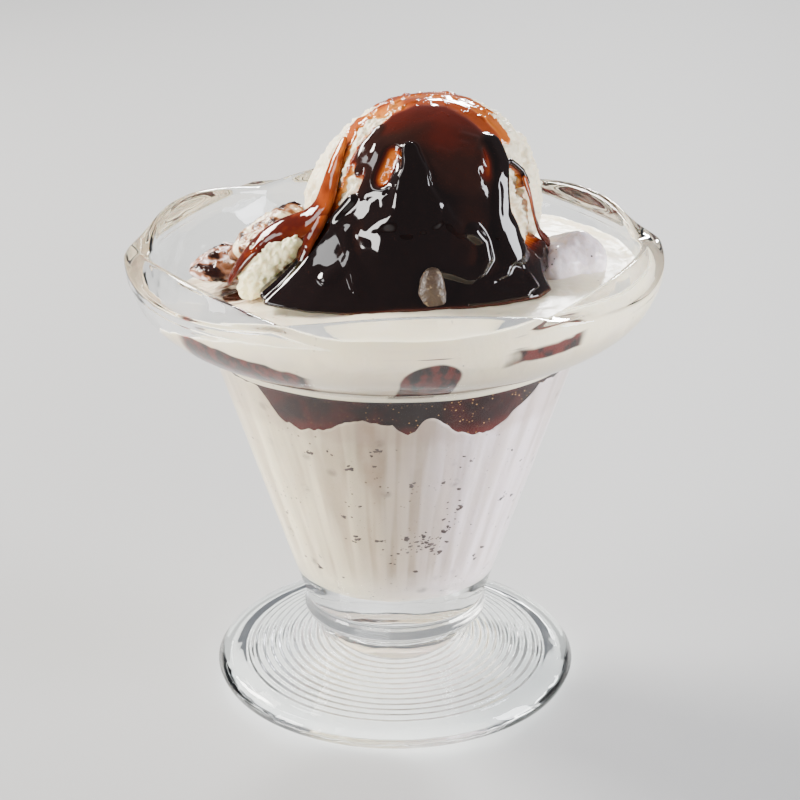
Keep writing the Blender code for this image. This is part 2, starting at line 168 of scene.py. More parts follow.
def flung(name, places, outward, sizes, seed, material):
    """Many small grains as one mesh: icosahedra, flattened, turned at random and scaled.

    Each grain's points are a fixed icosahedron times its three half-axes, along a frame made of
    the outward direction and two random ones square to it.
    """
    rng = np.random.default_rng(seed)
    t = (1.0 + math.sqrt(5.0)) / 2.0
    solid = np.array([(-1, t, 0), (1, t, 0), (-1, -t, 0), (1, -t, 0), (0, -1, t), (0, 1, t),
                      (0, -1, -t), (0, 1, -t), (t, 0, -1), (t, 0, 1), (-t, 0, -1), (-t, 0, 1)])
    solid = solid / np.linalg.norm(solid[0])
    sides = np.array([(0, 11, 5), (0, 5, 1), (0, 1, 7), (0, 7, 10), (0, 10, 11), (1, 5, 9),
                      (5, 11, 4), (11, 10, 2), (10, 7, 6), (7, 1, 8), (3, 9, 4), (3, 4, 2),
                      (3, 2, 6), (3, 6, 8), (3, 8, 9), (4, 9, 5), (2, 4, 11), (6, 2, 10),
                      (8, 6, 7), (9, 8, 1)])
    count = len(places)
    random = rng.normal(size=(count, 3))
    along = np.cross(outward, random)
    along /= np.linalg.norm(along, axis=1)[:, None]
    across = np.cross(outward, along)
    lumpy = solid[None] * rng.uniform(0.75, 1.15, (count, 12, 1))
    spread = lumpy * sizes[:, None, :]
    points = (places[:, None] + spread[..., 0:1] * along[:, None] + spread[..., 1:2] * across[:, None]
              + spread[..., 2:3] * outward[:, None])
    faces = sides[None] + 12 * np.arange(count)[:, None, None]
    mesh = bpy.data.meshes.new(name)
    mesh.from_pydata((points.reshape(-1, 3) * MM).tolist(), [], faces.reshape(-1, 3).tolist())
    return finished(name, mesh, material)


# ------------------------------------------------------------------ materials as expressions


class Value:
    """A socket of a material's nodes.  Arithmetic on it adds Math nodes."""

    def __init__(self, mixture, socket):
        self.mixture = mixture
        self.socket = socket

    def math(self, operation, *values):
        """A Math node on this value and others."""
        sockets = dict(enumerate((self, *values)))
        return self.mixture.node("Math", {"operation": operation}, sockets)

    def reflected(self, operation, value):
        """A Math node with a plain number first."""
        return self.mixture.node("Math", {"operation": operation}, {0: value, 1: self})

    def __add__(self, value):
        return self.math("ADD", value)

    def __sub__(self, value):
        return self.math("SUBTRACT", value)

    def __mul__(self, value):
        return self.math("MULTIPLY", value)

    def __truediv__(self, value):
        return self.math("DIVIDE", value)

    def __radd__(self, value):
        return self.math("ADD", value)

    def __rsub__(self, value):
        return self.reflected("SUBTRACT", value)

    def __rmul__(self, value):
        return self.math("MULTIPLY", value)

    def step(self, low, high):
        """0 below low, 1 above high and smooth between, also where low is the larger."""
        return self.mixture.node("MapRange", {"interpolation_type": "SMOOTHSTEP"},
                                 {"Value": self, "From Min": low, "From Max": high})


class Mixture:
    """A material under construction."""

    def __init__(self, name):
        self.material = bpy.data.materials.new(name)
        self.material.use_nodes = True
        self.tree = self.material.node_tree
        self.tree.nodes.clear()

    def node(self, kind, settings=None, sockets=None, out=0):
        """A node of a kind with its settings, then the values or links of its sockets."""
        node = self.tree.nodes.new("ShaderNode" + kind)
        for key, value in (settings or {}).items():
            if key == "stops":
                ramp = node.color_ramp
                while len(ramp.elements) < len(value):
                    ramp.elements.new(1.0)
                for element, (position, colour) in zip(ramp.elements, value):
                    element.position = position
                    element.color = (*colour, 1.0)
            else:
                setattr(node, key, value)
        for key, value in (sockets or {}).items():
            if isinstance(value, Value):
                self.tree.links.new(value.socket, node.inputs[key])
            else:
                node.inputs[key].default_value = value
        return Value(self, node.outputs[out]) if node.outputs else None

    def place(self):
        """Where a point lies on the piece, in millimetres."""
        where = self.node("TexCoord", out="Object")
        return self.node("VectorMath", {"operation": "SCALE"}, {0: where, "Scale": 1.0 / MM})

    def axes(self, place):
        """The three coordinates of a place."""
        parts = self.node("SeparateXYZ", sockets={0: place})
        return [Value(self, socket) for socket in parts.socket.node.outputs]

    def noise(self, place, size, detail=3.0, roughness=0.5, distortion=0.0):
        """Noise from 0 to 1 with features of a size in millimetres."""
        return self.node("TexNoise", sockets={"Vector": place, "Scale": 1.0 / size, "Detail": detail,
                                              "Roughness": roughness, "Distortion": distortion})

    def grains(self, place, size, random=1.0, out="Distance", feature="F1"):
        """Distance to the nearest of scattered points a size apart."""
        return self.node("TexVoronoi", {"feature": feature},
                         {"Vector": place, "Scale": 1.0 / size, "Randomness": random}, out)

    def blend(self, share, first, second):
        """The first colour where share is 0 and the second where it is 1."""
        def colour(value):
            return value if isinstance(value, Value) else (*value, 1.0)
        return self.node("Mix", {"data_type": "RGBA"},
                         {0: share, 6: colour(first), 7: colour(second)}, 2)

    def relief(self, height, depth, strength=1.0):
        """A normal bumped by a height from 0 to 1 times a depth in millimetres."""
        return self.node("Bump", sockets={"Strength": strength, "Distance": depth * MM,
                                          "Height": height})

    def surface(self, **values):
        """A Principled shader; a socket's name is written with underscores."""
        return self.node("BsdfPrincipled",
                         sockets={key.replace("_", " "): value for key, value in values.items()})

    def done(self, shader):
        """Put the shader on the surface and give the material."""
        self.node("OutputMaterial", sockets={"Surface": shader})
        return self.material


# ------------------------------------------------------------------ colours, linear

CREAM = (0.87, 0.76, 0.54)
COOL_CREAM = (0.80, 0.69, 0.71)
# warmer than CREAM, and brighter as painted light: a lit copy of the cream for the chunk
WARM_LIT_CREAM = (0.96, 0.87, 0.53)
SPECK = (0.045, 0.020, 0.012)
FUDGE_DEEP = (0.0055, 0.0022, 0.0018)
FUDGE_DARK = (0.020, 0.0055, 0.0030)
FUDGE_RED = (0.066, 0.0060, 0.0018)
FUDGE_ORANGE = (0.27, 0.045, 0.0045)
FUDGE_AMBER = (0.52, 0.135, 0.013)
FUDGE_THIN = (0.74, 0.36, 0.085)
LAYER_DARK = (0.012, 0.0045, 0.0040)
LAYER_RED = (0.095, 0.0100, 0.0065)


# ------------------------------------------------------------------ the dish

FLOOR_HEIGHT = 20.4
FLOOR_EDGE = 27.0
CONE_AT_ZERO = 11.2
CONE_SLOPE = 0.330
CONE_WALL = 3.0
CONE_TOP = 67.0
RIM_RADIUS = 47.6
LIP_RADIUS = 43.1
LIP_HEIGHT = 82.8
SCALLOPS = 6
SCALLOP_TURN = 5.3            # degrees
ARCH_RISE = 3.0
FACET_DROP = 1.7
FACET_PULL = 0.4
ARCH_START = 79.2
FLUTES = 30
FLUTE_DEPTH = 0.22
FOOT_RINGS = 13
RING_PITCH = 1.5
RING_INNER = 8.6
RING_DEPTH = 0.30
DISH_COLUMNS = 210
INTO_WALL = 0.12              # how far the food reaches into the glass


def cone_radius(z):
    """Outside radius of the straight cone at a height."""
    return CONE_AT_ZERO + CONE_SLOPE * z


INNER = [(0.0, FLOOR_HEIGHT), (9.0, 20.7), (13.4, 22.0), (15.7, 24.3),
         (cone_radius(FLOOR_EDGE) - CONE_WALL, FLOOR_EDGE),
         (cone_radius(CONE_TOP - 1.0) - CONE_WALL, CONE_TOP - 1.0),
         (31.3, 69.6), (33.3, 71.6), (36.4, 72.9), (39.0, 74.5), (41.1, 77.1), (42.3, 80.3),
         (42.55, 81.3)]
LIP = [(42.55, 81.3), (LIP_RADIUS - 0.4, LIP_HEIGHT - 0.7), (LIP_RADIUS, LIP_HEIGHT),
       (LIP_RADIUS + 0.9, LIP_HEIGHT + 0.15), (RIM_RADIUS - 0.5, 83.25), (RIM_RADIUS, 82.6),
       (47.3, 80.4)]
OUTER = [(47.3, 80.4), (46.95, 78.9), (46.7, 78.3), (45.7, 75.9), (44.1, 73.8), (42.0, 72.0),
         (39.5, 70.6), (36.6, 69.3), (34.7, 68.6), (cone_radius(CONE_TOP), CONE_TOP),
         (cone_radius(40.0), 40.0)]
LOWER = [(cone_radius(40.0), 40.0), (cone_radius(16.6), 16.6), (16.35, 15.7), (16.9, 15.4),
         (16.9, 14.9), (16.6, 14.7), (16.9, 14.5), (16.9, 13.3), (16.6, 12.8), (15.2, 12.2),
         (12.9, 10.9), (14.2, 9.6), (22.0, 7.1), (28.0, 5.3), (32.3, 4.1), (33.5, 2.4),
         (32.8, 0.6), (32.0, 0.0), (29.8, 0.0), (28.0, 0.9)]
UNDER = [(28.0, 0.9), (26.0, 1.4), (14.0, 2.2), (0.0, 2.6)]

inner_line = softened(INNER, 0.5, 3.2)
WALL_FROM = int(np.argmax(inner_line[:, 1] > FLOOR_HEIGHT + 1.0))


def flutes(azimuth, z):
    """How far the optic flutes stand into the cone: half cosines, fading out at both ends."""
    wave = 0.5 + 0.5 * np.cos(np.radians(azimuth - SCALLOP_TURN) * FLUTES)
    return FLUTE_DEPTH * wave * smooth(23.0, 33.0, z) * (1.0 - smooth(60.0, 68.0, z))


def wall_radius(azimuth, z):
    """Inside radius of the dish above its floor, flutes included."""
    line = inner_line[WALL_FROM:]
    return np.interp(z, line[:, 1], line[:, 0]) - flutes(azimuth, z)


def make_dish(material):
    """The glass: an outline from the inner floor over the rim to the underside, turned.

    Over each scallop a half sine wave raises the lip into an arch and presses the facet outside
    it down.  The cone has shallow flutes inside, and fine ring grooves run under the foot.
    """
    under = softened(UNDER, 0.19, 0.6)
    outline = np.concatenate((inner_line[::2], softened(LIP, 0.2, 0.7)[1:],
                              softened(OUTER, 0.8, 2.4)[1:], softened(LOWER, 0.45, 0.9)[1:], under[1:]))
    r, z = outline[:, :1], outline[:, 1:]
    azimuth = SCALLOP_TURN + np.arange(DISH_COLUMNS) * 360.0 / DISH_COLUMNS
    across = (np.arange(DISH_COLUMNS) * SCALLOPS / DISH_COLUMNS) % 1.0
    wave = np.sin(math.pi * across) * smooth(ARCH_START, LIP_HEIGHT - 0.6, z)
    lift = np.interp(r, (LIP_RADIUS + 0.9, RIM_RADIUS - 0.5), (ARCH_RISE, -FACET_DROP))
    pull = FACET_PULL * wave * smooth(LIP_RADIUS + 1.0, RIM_RADIUS, r)
    inside = np.arange(len(outline))[:, None] < len(inner_line[::2])
    radius = r - pull - np.where(inside, flutes(azimuth, z), 0.0)
    height = z + lift * wave
    below = np.arange(len(outline))[:, None] >= len(outline) - len(under)
    ring = 0.5 - 0.5 * np.cos(2.0 * math.pi * (r - RING_INNER) / RING_PITCH)
    ringed = (r > RING_INNER) & (r < RING_INNER + FOOT_RINGS * RING_PITCH) & below
    height = height + RING_DEPTH * np.where(ringed, ring, 0.0)
    turn = np.radians(azimuth)
    grid = np.stack((radius * np.cos(turn), radius * np.sin(turn), height + 0.0 * turn), -1)
    return skin("glass_dish_detailed", grid, material, ["glass_dish"])


def glass_material():
    """Clear pressed glass, wavy by a few hundredths of a millimetre; lamps shine through it."""
    mix = Mixture("clear_pressed_glass")
    place = mix.place()
    waves = mix.noise(place, 9.0, 2.0, 0.4)
    glass = mix.surface(Base_Color=(0.965, 0.985, 0.98, 1.0), Transmission_Weight=1.0, IOR=1.5,
                        Roughness=0.01, Normal=mix.relief(waves, 0.25))
    clear = mix.node("BsdfTransparent", sockets={"Color": (0.94, 0.96, 0.96, 1.0)})
    lamp = mix.node("LightPath", out="Is Shadow Ray")
    return mix.done(mix.node("MixShader", sockets={0: lamp, 1: glass, 2: clear}))


# ------------------------------------------------------------------ the fillings

LAYER_LOW = 60.4
LAYER_HIGH = 66.6
TOP_LEVEL = 79.9
LAYER_EDGE = ((0, 63.0), (20, 60.4), (45, 62.0), (75, 59.6), (100, 61.6), (128, 60.0), (150, 61.8),
              (165, 59.8), (185, 62.6), (204, 65.8), (222, 66.0), (226, 62.3), (230, 59.6),
              (235, 59.0), (242, 59.4), (249, 60.4), (253, 62.0), (259, 62.6), (266, 61.8),
              (270, 62.1), (272, 60.6), (275, 59.8), (277, 60.5), (279, 62.2), (282, 63.3),
              (285, 62.2), (291, 60.0), (297, 58.5), (303, 58.4), (308, 59.1), (312, 61.4),
              (317, 62.9), (322, 65.7), (342, 65.9))       # azimuth and height at the glass
WALL_AZIMUTHS = (-45, 0, 45, 90, 135, 180, 225, 270, 315)
WALL_LEVELS = (80.8, 80.2, 78.6, 76.4, 73.9, 73.8, 78.2, 80.7, 80.8)
TOP_LUMPS = ((-20, 24, -1.0, 16), (22, 22, 0.9, 14), (-3, 34, -0.7, 14), (34, 8, 0.5, 12))
FILL_COLUMNS = 480


def layer_bottom(x, y):
    """Under side of the fudge layer: level inside, hanging in lobes and small curls at the wall."""
    r = np.hypot(x, y)
    azimuth = np.degrees(np.arctan2(y, x))
    turn = np.stack((27.0 * x / np.maximum(r, 1e-6), 27.0 * y / np.maximum(r, 1e-6), 0.0 * x), -1)
    azimuth = azimuth + 1.6 * swirls(turn, 4.0, 13)
    edge = np.interp(azimuth, *np.array(LAYER_EDGE).T, period=360)
    curls = 0.55 * np.abs(swirls(turn, 2.4, 11)) + 0.40 * swirls(turn, 1.3, 12)
    inner = LAYER_LOW + 0.3 * np.cos(0.21 * x + 0.4)
    return inner + (edge - curls - inner) * smooth(16.0, 28.5, r)


def layer_top(x, y):
    """Upper side of the fudge layer, gently uneven."""
    return LAYER_HIGH + 0.5 * np.sin(0.19 * x + 1.0) * np.cos(0.16 * y) - 0.4 * np.sin(0.23 * y)


def wall_level(azimuth):
    """Height of the topmost ice cream at the glass, round the dish in degrees."""
    return np.interp(azimuth, WALL_AZIMUTHS, WALL_LEVELS, period=360)


def cream_bed(x, y):
    """Top of the ice cream without its fine relief."""
    r = np.hypot(x, y)
    z = TOP_LEVEL + (wall_level(np.degrees(np.arctan2(y, x))) - TOP_LEVEL) * smooth(10.0, 36.0, r)
    for lump_x, lump_y, height, width in TOP_LUMPS:
        z = z + height * bump(np.hypot(x - lump_x, y - lump_y), width)
    return z


def cream_top(x, y):
    """Top of the ice cream: soft waves, rougher at the back and the left where it is cold."""
    place = np.stack((x, y, 0.0 * x), -1)
    cold = smooth(-8.0, 18.0, 0.55 * y - 0.45 * x)
    waves = 0.35 * swirls(place, 9.0, 21) + (0.10 + 0.30 * cold) * rough(place, 3.2, 22, 3, 0.6)
    waves = waves + 1.6 * bump(np.hypot(x - 31.0, y + 1.5), 19.0)
    meniscus = 0.45 * smooth(2.2, 0.0, wall_radius(0.0, 80.0) - np.hypot(x, y))
    return cream_bed(x, y) + waves + meniscus


def filling(name, low, high, material, replaced, top_rows=8, wall_rows=90):
    """A filling up to the surface high and down to low, or to the dish's floor without one.

    Its side lies a little inside the glass.  The height where each surface meets the wall is
    found by stepping between the wall's radius there and the surface's height at that radius.
    """
    azimuth = np.arange(FILL_COLUMNS) * 360.0 / FILL_COLUMNS
    cos, sin = np.cos(np.radians(azimuth)), np.sin(np.radians(azimuth))

    def rim(surface):
        z = np.full(FILL_COLUMNS, 60.0)
        for _ in range(12):
            r = wall_radius(azimuth, z) + INTO_WALL
            z = surface(r * cos, r * sin)
        return r, z

    def across(surface, shares):
        r = shares[:, None] * rim(surface)[0]
        return np.stack((r * cos, r * sin, surface(r * cos, r * sin)), -1)

    r_high, z_high = rim(high)
    out = np.sin(np.linspace(0.0, 0.5 * math.pi, top_rows))
    rows = [across(high, out)]
    if low is None:
        line = inner_line + np.array((INTO_WALL, -INTO_WALL)) * (np.arange(len(inner_line)) > 0)[:, None]
        line[0, 0] = 0.0
        length = np.concatenate(([0.0], np.cumsum(np.hypot(*np.diff(line, axis=0).T))))
        start = np.interp(z_high, inner_line[:, 1], length)
        walk = start * np.linspace(1.0, 0.0, wall_rows + 1)[1:, None]
        z = np.interp(walk, length, line[:, 1])
        r = np.interp(walk, length, line[:, 0]) - flutes(azimuth, z)
        rows.append(np.stack((r * cos, r * sin, z), -1))
    else:
        z_low = rim(low)[1]
        z = z_high + (z_low - z_high) * np.linspace(0.0, 1.0, wall_rows + 1)[1:, None]
        r = wall_radius(azimuth, z) + INTO_WALL
        rows.append(np.stack((r * cos, r * sin, z), -1))
        rows.append(across(low, np.array((0.8, 0.4, 0.0))))
    return skin(name, np.concatenate(rows), material, replaced)


def lower_material():
    """Speckled vanilla against the glass: cream on one side, cooler on the other, with upright
    streaks of painted shade that follow the flutes and a painted shade down the middle of the front,
    with pits and fine specks.
    """
    mix = Mixture("speckled_vanilla")
    place = mix.place()
    x, y, z = mix.axes(place)
    radius = (x * x + y * y).math("SQRT").math("MAXIMUM", 1.0)
    cool = (x + mix.noise(place, 12.0) * 10.0).step(-4.0, 16.0)
    colour = mix.blend(cool, CREAM, COOL_CREAM)
    round_wall = mix.node("CombineXYZ", sockets={0: x / radius * 27.0, 1: y / radius * 27.0, 2: z * 0.10})
    # painted shade: upright columns darkened as if shaded by the flutes, and the middle of the front darker
    # still
    flute_shade_streak = mix.noise(round_wall, 3.4, 2.0, 0.45).step(0.42, 0.60)
    middle = (x - 1.0 + mix.noise(round_wall, 7.0) * 6.0).math("ABSOLUTE").step(15.0, 3.0) * y.step(0.0, -8.0)
    shade = (flute_shade_streak * 0.40 + middle * 0.50 + flute_shade_streak * middle * 0.06) * z.step(22.0, 30.0)
    colour = mix.blend(shade, colour, (0.36, 0.265, 0.185))
    cloud = mix.noise(place, 5.0, 4.0, 0.6).step(0.35, 0.7)
    colour = mix.blend(cloud * 0.20, colour, (0.66, 0.55, 0.46))
    near = mix.noise(place, 11.0, 2.0).step(0.40, 0.66)
    dust = mix.grains(place, 1.5).step(0.17, 0.07) * near
    fine = mix.grains(place, 0.8).step(0.13, 0.05) * mix.noise(place, 6.0).step(0.5, 0.62)
    colour = mix.blend((dust * 0.85 + fine * 0.7).math("MINIMUM", 1.0), colour, SPECK)
    smudge = mix.grains(place, 6.5).step(0.20, 0.05) * mix.noise(place, 2.0, 3.0).step(0.32, 0.55)
    colour = mix.blend(smudge * 0.55, colour, (0.14, 0.105, 0.095))
    stain = (z + mix.noise(place, 3.0) * 3.0).step(58.0, 60.6)
    colour = mix.blend(stain * 0.30, colour, (0.36, 0.24, 0.19))
    height = mix.noise(place, 1.6, 4.0, 0.6) - dust * 0.5
    return mix.done(mix.surface(Base_Color=colour, Roughness=0.42, Subsurface_Weight=0.15,
                                Subsurface_Radius=(2.4, 1.6, 1.1), Subsurface_Scale=MM,
                                Specular_IOR_Level=0.08, Normal=mix.relief(height, 0.12)))


def layer_material():
    """The fudge layer: nearly black, redder at its lower edge; its sugar grains are glossier and painted with
    bright orange glints, more towards the right front.
    """
    mix = Mixture("fudge_layer_dark")
    place = mix.place()
    x, y, z = mix.axes(place)
    low = (z + mix.noise(place, 2.6, 3.0) * 3.0).step(63.6, 59.8)
    patch = mix.noise(place, 7.0, 3.0, 0.55, 0.6).step(0.42, 0.68)
    colour = mix.blend((low * 0.75 + patch * 0.35).math("MINIMUM", 1.0), LAYER_DARK, LAYER_RED)
    pale = mix.noise(place, 4.5, 4.0, 0.65, 1.2).step(0.60, 0.72)
    colour = mix.blend(pale * 0.22, colour, (0.20, 0.13, 0.11))
    # painted highlight: sugar grains coloured as bright orange glints, stronger towards the right front; the
    # grains are also glossier
    sugar_glint = mix.grains(place, 0.8).step(0.20, 0.10) * mix.noise(place, 5.0).step(0.40, 0.56)
    side = (x + y * -0.4).step(4.0, 18.0)
    colour = mix.blend(sugar_glint * (side * 0.65 + 0.10), colour, (0.95, 0.50, 0.17))
    height = mix.noise(place, 1.2, 3.0)
    return mix.done(mix.surface(Base_Color=colour, Roughness=0.42 - sugar_glint * 0.15,
                                Specular_IOR_Level=0.10, Normal=mix.relief(height, 0.10)))


# ------------------------------------------------------------------ the scoop

SCOOP_CENTRE = np.array((6.0, 0.0, 91.4))
SCOOP_RADIUS = 19.3


def scoop_surface(azimuth, polar):
    """Radius of the scoop by direction in degrees: a ball, fuller at the lower left."""
    a, p = np.radians(azimuth), np.radians(polar)
    swell = 0.45 * np.sin(3.0 * a + 0.6) * np.sin(p) ** 2 + 0.35 * np.cos(2.0 * a - 1.1) * np.sin(2.0 * p)
    left = bump(turn_between(azimuth, 172.0), 80.0) * bump(polar - 96.0, 60.0)
    back = bump(turn_between(azimuth, 75.0), 120.0) * np.sin(p)
    crown = bump(polar, 110.0)
    return SCOOP_RADIUS + 0.6 * swell + 2.6 * left + 0.6 * back - 0.9 * crown


def directions(azimuth, polar):
    """Unit vectors by azimuth and polar angle in degrees."""
    a, p = np.radians(azimuth), np.radians(polar)
    return np.stack((np.sin(p) * np.cos(a), np.sin(p) * np.sin(a), np.cos(p) + 0.0 * a), -1)


def scoop_crags(azimuth, polar):
    """Relief of the scooped ice cream: torn ridges and pits, crumbly in the window at the right."""
    place = directions(azimuth, polar) * SCOOP_RADIUS
    torn = 1.0 - np.abs(rough(place, 4.6, 31, 3, 0.55))
    pits = smooth(0.25, 0.75, swirls(place, 1.5, 36))
    crumbs = rough(place, 1.5, 38, 3, 0.65)
    window = bump(turn_between(azimuth, 324.0), 26.0) * bump(polar - 78.0, 44.0)
    return (1.15 * (torn - 0.75) + 0.35 * rough(place, 1.9, 34, 3, 0.6) - 0.40 * pits
            + window * (0.85 * crumbs - 0.5))


def make_scoop(material):
    """The scoop: a ball of crags, from its crown to a pole inside the ice cream below."""
    azimuth = np.arange(420) * 360.0 / 420
    polar = np.linspace(0.0, 180.0, 200)[:, None]
    radius = scoop_surface(azimuth, polar) + scoop_crags(azimuth, polar)
    grid = SCOOP_CENTRE + directions(azimuth, polar) * radius[..., None]
    return skin("ice_cream_scoop_detailed", grid, material, ["ice_cream_scoop"])


def cream_material(name, base, streaks=0.0, wet=0.42, speck=0.5, bumpy=0.30):
    """Ice cream: clouded cream with dark specks, pits darkened by painted shade, and sauce streaks where
    asked.
    """
    mix = Mixture(name)
    place = mix.place()
    cloud = mix.noise(place, 2.8, 4.0, 0.6).step(0.3, 0.75)
    colour = mix.blend(cloud * 0.3, base, tuple(0.84 * value for value in base))
    pits = mix.noise(place, 0.8, 3.0, 0.6)
    # painted shade: the cream is darkened in the pits of the relief
    colour = mix.blend(pits.step(0.42, 0.30) * 0.35, colour, (0.52, 0.40, 0.24))
    flecks = mix.grains(place, 1.9).step(0.13, 0.06) * mix.noise(place, 6.0).step(0.44, 0.6)
    colour = mix.blend(flecks * speck, colour, SPECK)
    rough_share = 0.30
    if streaks:
        x, y, z = mix.axes(place)
        skewed = mix.node("CombineXYZ", sockets={0: x * 0.35, 1: y * 1.0, 2: z * 0.9 + x * 0.55})
        band = mix.noise(skewed, 3.6, 3.0, 0.5, 1.1)
        film = band.step(0.56 - 0.12 * streaks, 0.66 - 0.12 * streaks)
        colour = mix.blend(film * 0.94, colour, (0.26, 0.085, 0.022))
        colour = mix.blend(band.step(0.64 - 0.12 * streaks, 0.78 - 0.12 * streaks), colour, FUDGE_DARK)
        rough_share = 0.30 - film * 0.22
    height = pits * 0.6 + mix.noise(place, 2.4, 3.0, 0.6)
    return mix.done(mix.surface(Base_Color=colour, Roughness=rough_share + (wet - 0.30),
                                Subsurface_Weight=0.3, Subsurface_Radius=(2.6, 1.7, 1.1),
                                Subsurface_Scale=MM, Specular_IOR_Level=0.4,
                                Normal=mix.relief(height, bumpy)))


# ------------------------------------------------------------------ the hot fudge

COAT_AZIMUTHS = (4, 25, 50, 75, 95, 120, 150, 172, 186, 196, 206, 218, 231, 245, 259,
                 277, 296, 313, 326, 338, 350)
COAT_ANGLES = (60, 40, 44, 58, 48, 40, 52, 70, 88, 106, 122, 126, 126, 126, 126,
               126, 126, 126, 126, 124, 106)
POOL_REACHES = (0, 0, 0, 0, 0, 0, 0, 0, 0, 2, 16, 20, 17.2, 13.8, 11.2,
                9.8, 10.8, 11.6, 10, 7.5, 4)
COAT_DEPTH = 1.15             # of the dark coat in front
SHOULDER = 72.0
DOME_SHARE = 0.56
POOL_EDGE = 1.5
FILM = 0.10                   # least thickness over a crag
COAT_COLUMNS = 460
COAT_ROWS = 206

# Ways that the fudge has run: thickness in mm, width of the run in mm, and the points along its
# middle.  Below zero the ice cream is bare.  Later runs lie over earlier ones.
RUNS = (
    # the thin side at the left, with bare streaks
    (0.28, 5.4, (-7, -1.5, 106.5), (-8, -5.5, 105), (-9.5, -7, 102.5), (-10.5, -9, 99.5),
     (-11.5, -10.5, 96.5), (-12, -10.5, 93.5), (-14, -9.5, 90.5)),
    (0.30, 8.5, (-12, -10, 94), (-14, -10, 90)),
    (-0.5, 1.5, (-6, -5, 106.5), (-7, -7.5, 105), (-8.5, -9, 102.5), (-9.5, -10.5, 100),
     (-10.5, -11, 98)),
    (-0.5, 3.4, (-7, -13, 100.5), (-8, -13.5, 98), (-9, -13.5, 95.5)),
    (0.80, 2.6, (-3, -8.5, 107), (-4.5, -10.5, 105), (-5.5, -12.5, 103), (-6.5, -13, 101)),
    (1.5, 2.0, (-7.5, -15, 96.5), (-9.5, -14, 93.5), (-11.5, -13, 89), (-14, -14.5, 86.5),
     (-16.5, -17.5, 83.5)),
    (1.25, 7.0, (-13, -15.5, 87), (-17, -18, 84), (-22, -17.5, 82), (-28, -16.5, 81)),
    # an amber window, and the mound where fudge was poured
    (0.20, 2.9, (-0.5, -14, 104), (-1.5, -15.5, 102.5), (-2.4, -16.5, 100.5)),
    (2.0, 11.0, (2, -20, 94), (1.5, -21.5, 87)),
    (2.3, 5.0, (2.5, -18, 100.5), (2, -19.5, 97), (2, -20, 94)),
    (2.2, 2.6, (2.5, -14.5, 105), (2.5, -17, 102), (2.5, -18.5, 99)),
    (1.9, 2.2, (3, -15, 104.5), (4.5, -17.5, 102), (5, -19, 99.5), (6.5, -19.5, 97),
     (6.5, -20.5, 94.5)),
    # the thin crown and the bare right side
    (0.13, 5.0, (-2.5, -3.5, 108.6), (0.5, -2.8, 109.9), (1.5, -1, 110.2)),
    (0.36, 4.4, (3, -2, 111), (9.5, -2.5, 110.6), (13.5, -4.5, 108.6), (17, -7, 105.5),
     (17.4, -10, 103.5)),
    (0.46, 3.6, (16.5, -11, 103), (15.6, -13.5, 100.5)),
    (0.24, 3.6, (4, 1, 111), (12, -0.5, 110), (16.5, -2, 108), (19.4, -5.4, 105)),
    (-0.5, 4.0, (21, 1.5, 105), (23.5, 0, 102.5), (24.5, -3.5, 99), (25, -5.5, 95), (25, -7, 91.5)),
    (1.2, 3.0, (18, -17, 85.5), (21.5, -15.5, 84.0), (24.5, -12.5, 83.6), (26.5, -8, 84.6),
     (27, -4, 85.0)),
    (-0.6, 5.4, (20.5, -11.5, 99.5), (21.5, -12, 96), (22.5, -12.3, 91), (23, -12.0, 89.0)),
    (-0.6, 4.2, (23.6, -9.2, 97), (24.8, -9.4, 93), (25.2, -9.2, 89.4)),
    (1.4, 3.8, (17, -9.5, 105), (18.3, -11.2, 102), (18.2, -13.8, 98.5), (18.0, -15.7, 94),
     (18.4, -15.9, 89.5)),
    (1.9, 5.6, (18.6, -16, 91), (19.4, -16.5, 88)),
    (1.1, 1.4, (20, -9.5, 101.5), (22, -8.5, 99.5), (23, -8.8, 97.5)),
    # curls and lobes low at the front
    (1.0, 4.0, (11, -20, 89.5), (10.5, -20.5, 88)),
    (2.0, 2.6, (13, -19, 92), (14.5, -18.5, 90), (15, -19.5, 87.5), (14, -20.5, 85.5),
     (12, -21.5, 85), (8.5, -21.5, 86), (6.5, -21.5, 87.5)),
    (1.7, 1.6, (5, -20.5, 92), (7, -20.5, 90), (8.5, -21, 87.5)),
    (0.62, 3.0, (20.5, -19, 84.5), (20, -20.5, 83)),
    (1.7, 1.6, (16, -21, 84), (18.5, -19.5, 85), (20, -17, 86), (22, -17.5, 84),
     (23.5, -18.5, 82.5), (21, -21.5, 82), (17.5, -22.5, 82.5)),
    (1.6, 2.0, (13, -24.5, 81.5), (17.5, -23, 82), (22, -21, 82)),
    (1.9, 3.0, (-7.5, -16, 90.5), (-7, -18.5, 87), (-8, -19.5, 85.5), (-11, -20.5, 84)),
    (1.8, 3.4, (-7, -19, 86.5), (-5.5, -23, 83.5)),
)

# Small folds in the skin of the fudge: height in mm, width in mm and the points along each.
FOLDS = (
    (0.16, 1.5, (7.5, -14.5, 105), (9.5, -15, 104.5), (12.5, -13, 104.5), (14.5, -12.5, 104)),
    (0.16, 1.4, (11.5, -11, 107), (14, -10.5, 106), (13, -12, 105), (11.5, -12.5, 105.5)),
    (0.22, 1.8, (6, -16.5, 103), (7.5, -17.5, 101.5), (8.5, -17.5, 101)),
    (0.26, 1.9, (14.5, -12.5, 104), (16, -14, 101.5), (17, -15, 98), (17, -16.5, 94.5),
     (16.5, -17.5, 91)),
    (0.24, 1.8, (-5, -16.5, 97.5), (-3.5, -17, 98.5), (-1.5, -17.5, 99)),
    (0.40, 2.8, (1, -18.5, 98.5), (1, -19.5, 96), (-0.5, -19.5, 94.5), (-3.5, -18.5, 93),
     (-5.5, -17.5, 91), (-4.5, -18.5, 89.5)),
    (0.30, 2.2, (8, -19.5, 96.5), (9.5, -20, 94), (11, -20, 92.5)),
    (0.25, 2.0, (9.5, -22.5, 87), (12.5, -22.5, 84.5), (16, -22, 83.5)),
)


